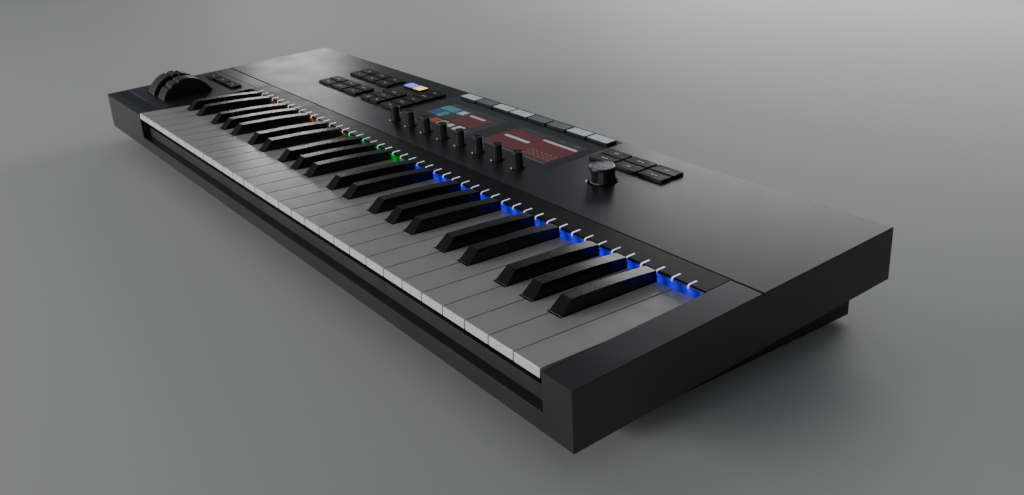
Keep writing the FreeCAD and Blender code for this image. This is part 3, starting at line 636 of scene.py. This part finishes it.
def makeWheel(name, ridgeAngle):
    axle = casePlace.inverted() @ Vector(joints[name + "_turn"]["pos_m"])
    low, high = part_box(name)
    middle = ((low.x + high.x) / 2 - corner.x) / metre
    radius = wheelShape["radius"]
    piece = rod(name + "_body", (middle, axle.y, axle.z), radius, wheelShape["width"], "X", 160)
    chooseEdges(piece, lambda a, b: abs(a.x - b.x) < 1e-4)
    bpy.ops.mesh.bevel(offset=wheelShape["rim"], segments=4)
    endEdit()
    chooseFaces(piece, lambda centre, normal: abs(normal.x) > 0.99)
    bpy.ops.mesh.inset(thickness=radius - wheelShape["rim"] - wheelShape["hub"], use_individual=True)
    bpy.ops.mesh.inset(thickness=wheelShape["hubSlope"], depth=-wheelShape["hubSink"], use_individual=True)
    endEdit()
    for side in (-1, 1):
        angle = math.radians(90 + ridgeAngle + side * wheelShape["spread"])
        reach = radius + wheelShape["reach"]
        place = (middle, axle.y + math.cos(angle) * reach, axle.z + math.sin(angle) * reach)
        carve(piece, rod("scoop", place, wheelShape["scoop"], wheelShape["width"] + 2, "X", 48))
    paint(piece, rubberSide, treadPaintedSheen)
    # the tread faces take the rubber with the painted sheen
    paintFaces(piece, 1, lambda centre, normal: abs(normal.x) < 0.4)
    settle(piece, casePlace, name, [name], 35)


makeWheel("pitch_wheel", 0.0)
makeWheel("mod_wheel", 28.0)
print("wheels made")


# Slim knobs: a fluted lacquered barrel with a smooth cap sunk a little into its top.
knobShape = {"radius": 4.65, "height": 15.0, "bottom": -1.0, "flutes": 18, "depth": 0.1, "collar": 1.5, "cap": 0.9,
             "capSlope": 0.4, "capSink": 0.35}


def makeKnob(name, x, y):
    shape = knobShape
    sides = shape["flutes"] * 4
    tall = shape["height"] - shape["bottom"]
    piece = rod(name + "_barrel", (x, y, shape["bottom"] + tall / 2), shape["radius"], tall, "Z", sides)
    # cut the barrel below its smooth collar, then draw every fourth edge inwards to make the flutes
    bpy.ops.object.mode_set(mode="EDIT")
    bpy.ops.mesh.select_all(action="SELECT")
    bpy.ops.mesh.bisect(plane_co=(x, y, shape["height"] - shape["collar"]), plane_no=(0, 0, 1))
    bpy.ops.mesh.select_all(action="SELECT")
    bpy.ops.mesh.bisect(plane_co=(x, y, shape["height"] - shape["collar"] - 0.5), plane_no=(0, 0, 1))
    endEdit()

    def inFlute(a, b):
        if max(a.z, b.z) > shape["height"] - shape["collar"] - 0.4 or abs(a.z - b.z) < 0.1:
            return False
        turn = math.atan2(a.y - y, a.x - x) / (2 * math.pi) * sides
        return round(turn) % 4 == 0
    chooseEdges(piece, inFlute)
    shrink = 1 - shape["depth"]
    bpy.ops.transform.resize(value=(shrink, shrink, 1))
    endEdit()
    chooseFaces(piece, lambda centre, normal: normal.z > 0.99 and centre.z > shape["height"] - 0.01)
    bpy.ops.mesh.inset(thickness=0.01)
    bpy.ops.mesh.inset(thickness=shape["cap"] - shape["capSlope"])
    bpy.ops.mesh.inset(thickness=shape["capSlope"], depth=-shape["capSink"])
    endEdit()
    chooseEdges(piece, lambda a, b: min(a.z, b.z) > shape["height"] - 0.01
                and math.hypot(a.x - x, a.y - y) > shape["radius"] - 0.005)
    bpy.ops.mesh.bevel(offset=0.45, segments=3)
    endEdit()
    paint(piece, lacquer)
    settle(piece, casePlace, name, [name], 40)


for number in range(1, 9):
    place = casePlace.inverted() @ Vector(joints["knob_%d_turn" % number]["pos_m"])
    makeKnob("knob_%d" % number, place.x, place.y)
print("knobs made")


# Push encoder: fine straight knurling, a rounded rim and a lathe-turned cap.
encoderShape = {"radius": 10.65, "height": 13.3, "bottom": -1.8, "knurls": 60, "depth": 0.03, "collar": 2.0, "cap": 1.2}
encoderPlace = casePlace.inverted() @ Vector(joints["encoder_turn"]["pos_m"])


def makeEncoder(x, y):
    shape = encoderShape
    sides = shape["knurls"] * 2
    tall = shape["height"] - shape["bottom"]
    piece = rod("encoder_grip", (x, y, shape["bottom"] + tall / 2), shape["radius"], tall, "Z", sides)
    bpy.ops.object.mode_set(mode="EDIT")
    for level in (shape["height"] - shape["collar"], shape["height"] - shape["collar"] - 0.4, 1.2, 0.8):
        bpy.ops.mesh.select_all(action="SELECT")
        bpy.ops.mesh.bisect(plane_co=(x, y, level), plane_no=(0, 0, 1))
    endEdit()

    def inKnurl(a, b):
        if max(a.z, b.z) > shape["height"] - shape["collar"] - 0.3 or min(a.z, b.z) < 1.1 or abs(a.z - b.z) < 0.1:
            return False
        turn = math.atan2(a.y - y, a.x - x) / (2 * math.pi) * sides
        return round(turn) % 2 == 0
    chooseEdges(piece, inKnurl)
    shrink = 1 - shape["depth"]
    bpy.ops.transform.resize(value=(shrink, shrink, 1))
    endEdit()
    chooseFaces(piece, lambda centre, normal: normal.z > 0.99 and centre.z > shape["height"] - 0.01)
    bpy.ops.mesh.inset(thickness=shape["cap"])
    bpy.ops.mesh.inset(thickness=0.25, depth=-0.3)
    endEdit()
    chooseEdges(piece, lambda a, b: min(a.z, b.z) > shape["height"] - 0.01
                and math.hypot(a.x - x, a.y - y) > shape["radius"] - 0.05)
    bpy.ops.mesh.bevel(offset=0.7, segments=3)
    endEdit()
    paint(piece, sideMetal, turnedAluminium(casePlace @ Vector((x, y, 0))))
    paintFaces(piece, 1, lambda centre, normal: normal.z > 0.3 and centre.z > shape["height"] - 1.0)
    settle(piece, casePlace, "encoder_knob", ["encoder_knob"], 25)


makeEncoder(encoderPlace.x, encoderPlace.y)
print("encoder made")


# Buttons: low silicone caps with a shallow dish, one template for each width.
buttonShape = {"depth": 12.3, "rise": 2.2, "bottom": -2.8, "turn": 1.3, "brim": 0.5, "dish": 0.12,
               "rim": 0.2, "slope": 0.35, "skirt": 0.9, "skirtTall": 1.0}
capWidth = 26.5
columnPitch = 29.3
rowPitch = 14.0
frontRow = 201.3
backRow = frontRow + 3 * rowPitch


def capRow(start, count, pitch, width, y):
    return [(start + i * pitch, width, y) for i in range(count)]


def capBlock(start, pitch, y):
    # two rows of three caps
    return capRow(start, 3, pitch, capWidth, y) + capRow(start, 3, pitch, capWidth, y + rowPitch)


buttonPlaces = {
    "transport_buttons": capBlock(157.0, columnPitch, backRow),
    "edit_buttons": capBlock(157.0, columnPitch, frontRow),
    "preset_buttons": capRow(255.0, 2, 18.0, 16.6, frontRow) + capRow(255.0, 1, 0, 34.6, frontRow + rowPitch)
    + capRow(255.0, 1, 0, 34.6, frontRow + 2 * rowPitch) + capRow(255.0, 2, 18.0, 16.6, frontRow + 4 * rowPitch),
    "mode_buttons": [(296.5, 28.0, frontRow + i * rowPitch) for i in range(5)],
    "browse_buttons": capBlock(577.5, 28.6, backRow),
    "soft_keys": capRow(341.0, 8, 28.3, capWidth, 275.5),
    "octave_buttons": capRow(17.0, 3, 29.0, capWidth, 116.0),
}
litCaps = {("preset_buttons", 4): 1, ("preset_buttons", 5): 2}
brightSoftKeys = (0, 2, 3, 6, 7)


def makeCap(width):
    shape = buttonShape
    cap = roundedBlock("cap", (0, 0, shape["bottom"]), (width, shape["depth"], shape["rise"]),
                       shape["turn"], shape["brim"])
    chooseFaces(cap, lambda centre, normal: normal.z > 0.99 and centre.z > shape["rise"] - 0.01)
    bpy.ops.mesh.inset(thickness=shape["rim"])
    bpy.ops.mesh.inset(thickness=shape["slope"], depth=-shape["dish"])
    endEdit()
    out = shape["skirt"]
    skirt = block("skirt", (-out, -out, shape["bottom"] - shape["skirtTall"]),
                  (width + out, shape["depth"] + out, shape["bottom"]))
    softenEdges(skirt, 0.2, 1)
    return joined("cap", [cap, skirt])


capMeshes = {width: makeCap(width) for width in (16.6, capWidth, 28.0, 34.6)}


def makeButtons(group):
    caps = []
    for i, (x, width, y) in enumerate(buttonPlaces[group]):
        cap = moved(capMeshes[width], (x, y, 0))
        paint(cap, silicone, violetLit, amberLit, softLit, softDim)
        look = litCaps.get((group, i), 0)
        if group == "soft_keys":
            look = 3 if i in brightSoftKeys else 4
        # only the top face lets light through; the brim and the sides stay black
        paintFaces(cap, look, lambda centre, normal: normal.z > 0.9 and centre.z > 1.5)
        caps.append(cap)
    piece = joined(group + "_caps", caps)
    settle(piece, casePlace, group, [group], 35)


for group in buttonPlaces:
    makeButtons(group)
for template in capMeshes.values():
    bpy.data.objects.remove(template)
print("buttons made")


# Printed marks: plain bars, arrows and shapes in place of words.
markShape = {"thick": 0.05, "bar": 0.9, "sink": 0.13}


def bar(x, y, length, height=None):
    z = buttonShape["rise"] - markShape["sink"]
    tall = height or markShape["bar"]
    return roundedBlock("bar", (x - length / 2, y - tall / 2, z),
                        (x + length / 2, y + tall / 2, z + markShape["thick"]), tall * 0.3, 0, 2)


def sign(x, y, size, corners, turn=0.0):
    z = buttonShape["rise"] - markShape["sink"]
    piece = rod("sign", (x, y, z + markShape["thick"] / 2), size, markShape["thick"], "Z", corners)
    bpy.ops.object.mode_set(mode="EDIT")
    bpy.ops.mesh.select_all(action="SELECT")
    bpy.ops.transform.rotate(value=-math.radians(turn), orient_axis="Z", center_override=(x, y, z))
    endEdit()
    return piece


def makeMarks(group, kinds):
    pieces = []
    for (x, width, y), kind in zip(buttonPlaces[group], kinds):
        middle = x + width / 2
        line = y + buttonShape["depth"] / 2
        if kind == "word":
            pieces += [bar(middle - 2.1, line, 3.4), bar(middle + 1.9, line, 2.6)]
        elif kind == "short":
            pieces += [bar(middle, line, 4.4)]
        elif kind == "play":
            pieces += [sign(middle, line, 1.5, 3, 90)]
        elif kind == "stop":
            pieces += [sign(middle, line, 1.5, 4, 45)]
        elif kind == "record":
            pieces += [sign(middle, line, 1.2, 24)]
        elif kind == "left":
            pieces += [sign(middle, line, 1.9, 3, -90)]
        elif kind == "right":
            pieces += [sign(middle, line, 1.9, 3, 90)]
        elif kind == "plus":
            pieces += [bar(middle, line, 2.6), bar(middle, line, 0.8, 2.6)]
        elif kind == "minus":
            pieces += [bar(middle, line, 2.6)]
    piece = joined(group + "_marks", pieces)
    paint(piece, mark)
    settle(piece, casePlace, group)


makeMarks("transport_buttons", ["play", "record", "stop", "short", "word", "short"])
makeMarks("edit_buttons", ["short", "word", "short", "word", "short", "word"])
makeMarks("preset_buttons", ["left", "right", "word", "word", None, None])
makeMarks("mode_buttons", ["word", "word", "short", "word", "short"])
makeMarks("browse_buttons", ["word", "short", "word", "short", "word", "short"])
makeMarks("octave_buttons", ["minus", "plus", "short"])
print("marks made")


# Display: ink on the back of the glass with two windows, and plain tiles of colour on the panels behind it.
screenShape = {"leftX": (352.0, 446.0), "rightX": (464.0, 560.0), "y": (207.0, 262.0), "inkTop": -1.52,
               "inkBottom": -1.585, "tileBottom": -1.595, "tileThick": 0.01, "layerStep": 0.012}


def makeInk():
    shape = screenShape
    piece = block("display_ink", (334.5, 204.5, shape["inkBottom"]), (569.5, 274.0, shape["inkTop"]))
    for low, high in (shape["leftX"], shape["rightX"]):
        carve(piece, block("window", (low, shape["y"][0], -3), (high, shape["y"][1], 0)))
    paint(piece, ink)
    settle(piece, casePlace, "case")


screenInks = {
    "night": screenColor("night", "#16181c", 0.35),
    "red": screenColor("red", "#8c3438", 0.62),
    "rose": screenColor("rose", "#c89a98", 0.7),
    "slate": screenColor("slate", "#4c4f54", 0.5),
    "dusk": screenColor("dusk", "#5c4a4c", 0.5),
    "orange": screenColor("orange", "#c96a34", 0.8),
    "cyan": screenColor("cyan", "#66b4c6", 0.8),
    "blue": screenColor("blue", "#3f6fa8", 0.75),
    "cream": screenColor("cream", "#dcc9a4", 0.85),
    "white": screenColor("white", "#f0f3f5", 0.95),
    "grey": screenColor("grey", "#7d8288", 0.6),
}


def tile(x0, x1, y0, y1, layer=0):
    bottom = screenShape["tileBottom"] + screenShape["layerStep"] * layer
    return roundedBlock("tile", (x0, y0, bottom), (x1, y1, bottom + screenShape["tileThick"]), 0.5, 0, 2)


def makeScreen(name, tiles):
    pieces = []
    names = list(screenInks)
    for x0, x1, y0, y1, layer, color in tiles:
        piece = tile(x0, x1, y0, y1, layer)
        paint(piece, *screenInks.values())
        index = names.index(color)
        paintFaces(piece, index, lambda centre, normal: True)
        pieces.append(piece)
    piece = joined(name, pieces)
    settle(piece, casePlace, "case")


leftTiles = [(352.2, 445.8, 207.2, 261.8, 0, "night"), (353.5, 444.5, 254.0, 260.8, 1, "slate"),
             (353.5, 378.0, 240.0, 252.5, 1, "cyan"), (380.0, 393.5, 240.0, 252.5, 1, "cyan"),
             (383.0, 391.5, 242.5, 250.5, 2, "white"), (357.0, 363.0, 255.8, 258.6, 2, "grey"),
             (353.5, 366.0, 224.0, 238.0, 1, "blue"), (367.5, 378.0, 224.0, 238.0, 1, "cyan"),
             (380.0, 393.5, 224.0, 238.0, 1, "dusk"), (395.0, 434.0, 222.0, 252.5, 1, "red"),
             (400.0, 424.0, 244.5, 248.0, 2, "white"), (427.0, 432.5, 246.0, 248.0, 2, "grey"),
             (405.0, 424.0, 236.0, 237.5, 2, "dusk"), (435.5, 444.5, 222.0, 252.5, 1, "slate"),
             (378.0, 388.5, 209.0, 220.0, 1, "orange"), (391.0, 401.5, 209.0, 220.0, 1, "cream"),
             (404.0, 415.0, 209.0, 220.0, 1, "grey"), (406.0, 413.0, 211.5, 218.0, 2, "white"),
             (418.0, 429.0, 209.0, 220.0, 1, "white"), (431.5, 444.5, 209.0, 220.0, 1, "slate")]
rightTiles = [(464.2, 559.8, 207.2, 261.8, 0, "night"), (465.5, 558.5, 212.0, 252.5, 1, "red"),
              (465.5, 558.5, 253.5, 260.8, 1, "slate"), (524.0, 531.0, 256.0, 258.0, 2, "grey"),
              (544.0, 552.0, 256.0, 258.0, 2, "grey"), (472.0, 507.0, 232.5, 236.5, 2, "white"),
              (511.0, 556.0, 247.0, 250.2, 2, "white"), (465.5, 558.5, 208.2, 210.4, 1, "grey")]
for line in (216.0, 220.5, 225.0):
    rightTiles += [(521.0 + 6.2 * i, 524.6 + 6.2 * i, line, line + 1.3, 2, "rose") for i in range(6)]
makeInk()
makeScreen("left_screen_picture", leftTiles)
makeScreen("right_screen_picture", rightTiles)
print("display made")


# Touch strip: a row of diodes behind a slot in front of the wheels.
stripShape = {"x": (6.0, 70.0), "y": 24.6, "count": 16}


def makeStripLights():
    x0, x1 = stripShape["x"]
    step = (x1 - x0) / stripShape["count"]
    y = stripShape["y"]
    pieces = []
    for i in range(stripShape["count"]):
        x = x0 + step * i
        pieces.append(roundedBlock("diode", (x, y - 0.5, -0.2), (x + step - 1.2, y + 0.5, 0.06), 0.3, 0.03, 2))
    piece = joined("strip_lights", pieces)
    paint(piece, litSilicone("lit_acrylic_blue", "#4a44c8", 0.28))
    settle(piece, casePlace, "case")


makeStripLights()
print("touch strip made")


# Back: a nut and washer on each pedal jack, screws in the plate.
def makeNuts():
    pieces = []
    for name in ("pedal_jack_1", "pedal_jack_2"):
        mount = [m for m in frame["record"]["mounts"] if m["name"] == name][0]
        place = casePlace.inverted() @ Vector(mount["pos_m"])
        washer = rod("washer", (place.x, 293.25, place.z), 7.2, 0.5, "Y", 48)
        nut = rod("nut", (place.x, 293.9, place.z), 6.6, 0.8, "Y", 6)
        softenEdges(nut, 0.15, 2)
        for part in (washer, nut):
            carve(part, rod("hole", (place.x, 293.5, place.z), 4.95, 4.0, "Y", 48))
            pieces.append(part)
    piece = joined("jack_nuts", pieces)
    paint(piece, nickel)
    settle(piece, casePlace, "case")


def makePlateScrews():
    pieces = []
    for x in (568.0, 611.0, 680.5, 717.0, 751.0):
        head = rod("head", (x, 293.25, -11.5), 2.6, 0.9, "Y", 32)
        softenEdges(head, 0.3, 3)
        carve(head, block("slot", (x - 1.6, 293.3, -11.8), (x + 1.6, 295.0, -11.2)))
        carve(head, block("slot", (x - 0.3, 293.3, -13.1), (x + 0.3, 295.0, -9.9)))
        pieces.append(head)
    piece = joined("plate_screws", pieces)
    paint(piece, steel)
    settle(piece, casePlace, "case")


makeNuts()
makePlateScrews()
print("back made")


# Stage: pale floor, soft light and the camera.
def makeStage():
    clearSelection()
    bpy.ops.mesh.primitive_plane_add(size=14, location=(0, 0, 0))
    floor = bpy.context.object
    floor.name = "floor"
    material, tree, shader = newMaterial("pale_floor", "#e2e2e0", 0.6)
    addGrain(tree, shader, 8.0, 0.05, 0.1)
    paint(floor, material)


studio = {
    "world": ("#c9ccd1", 0.2),
    "lamps": [
        {"name": "left_softbox", "place": (-2.12, 0.85, 0.58), "aim": (-0.3, 0.05, 0.07), "size": (0.3, 0.24),
         "watts": 1.4},
        {"name": "back_softbox", "place": (-0.55, 1.75, 0.6), "aim": (0.3, 0.0, 0.07), "size": (1.4, 0.55), "watts": 9},
        {"name": "front_softbox", "place": (-0.8, -2.3, 0.3), "aim": (-0.1, -0.1, 0.05), "size": (1.6, 0.45),
         "watts": 52},
    ],
}


def makeLights():
    world = bpy.data.worlds.new("studio")
    world.use_nodes = True
    background = world.node_tree.nodes["Background"]
    color, strength = studio["world"]
    background.inputs["Color"].default_value = hexColor(color)
    background.inputs["Strength"].default_value = strength
    bpy.context.scene.world = world
    for lamp in studio["lamps"]:
        data = bpy.data.lights.new(lamp["name"], "AREA")
        data.shape = "RECTANGLE"
        data.size, data.size_y = lamp["size"]
        data.energy = lamp["watts"]
        item = bpy.data.objects.new(lamp["name"], data)
        item.location = lamp["place"]
        aim = Vector(lamp["aim"]) - Vector(lamp["place"])
        item.rotation_euler = aim.to_track_quat("-Z", "Y").to_euler()
        bpy.context.scene.collection.objects.link(item)


view = {"place": (0.73054, -0.43693, 0.32393), "turn": (70.739, 1.042, 54.054), "lens": 33.13,
        "shift": (0.0410, -0.0659)}


def makeCamera():
    data = bpy.data.cameras.new("camera")
    data.lens = view["lens"]
    data.sensor_width = 36
    data.shift_x, data.shift_y = view["shift"]
    data.clip_start = 0.01
    camera = bpy.data.objects.new("camera", data)
    camera.location = view["place"]
    camera.rotation_euler = [math.radians(a) for a in view["turn"]]
    bpy.context.scene.collection.objects.link(camera)
    bpy.context.scene.camera = camera


makeStage()
makeLights()
makeCamera()
print("stage made")
